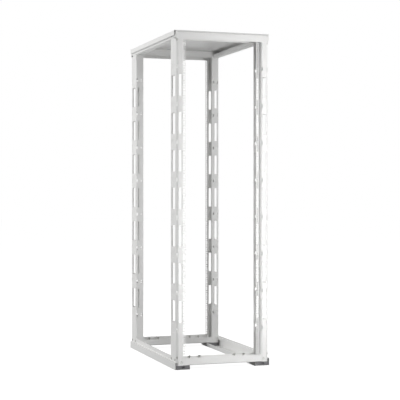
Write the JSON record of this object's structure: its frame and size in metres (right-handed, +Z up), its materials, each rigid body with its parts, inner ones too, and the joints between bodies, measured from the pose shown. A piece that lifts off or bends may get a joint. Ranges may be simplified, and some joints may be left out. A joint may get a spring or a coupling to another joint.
{
  "type": "four post open frame rack",
  "caption": "Tall open rack of four folded sheet posts with perforated mounting rails, cross rails, base rails and a roof panel, for 19 inch equipment.",
  "frame": {"origin": "middle of the footprint, on the floor", "axes": "+X to the right seen from the front, +Y to the rear, +Z up"},
  "size_m": [0.6, 1, 1.9994],
  "materials": {
    "frame_paint": "fine textured powder coat, light grey",
    "rail_paint": "fine textured powder coat, light grey",
    "base_paint": "fine textured powder coat, light grey",
    "roof_paint": "fine textured powder coat, light grey",
    "block_plastic": "dark grey moulded"
  },
  "bodies": {
    "root": {"front_left_post_face": "frame_paint", "front_right_post_face": "frame_paint", "rear_left_post_face": "frame_paint", "rear_right_post_face": "frame_paint", "front_left_post_side": "frame_paint", "front_right_post_side": "frame_paint", "rear_left_post_side": "frame_paint", "rear_right_post_side": "frame_paint", "front_left_post_return": "frame_paint", "front_right_post_return": "frame_paint", "rear_left_post_return": "frame_paint", "rear_right_post_return": "frame_paint", "front_left_mounting_rail": "rail_paint", "front_right_mounting_rail": "rail_paint", "rear_left_mounting_rail": "rail_paint", "rear_right_mounting_rail": "rail_paint", "front_left_corner_block": "block_plastic", "front_right_corner_block": "block_plastic", "rear_left_corner_block": "block_plastic", "rear_right_corner_block": "block_plastic", "front_header": "frame_paint", "rear_header": "frame_paint", "front_lower_rail": "frame_paint", "rear_lower_rail": "frame_paint", "left_base_rail": "base_paint", "right_base_rail": "base_paint", "left_top_rail": "base_paint", "right_top_rail": "base_paint", "roof_panel": "roof_paint"}
  },
  "joints": []
}
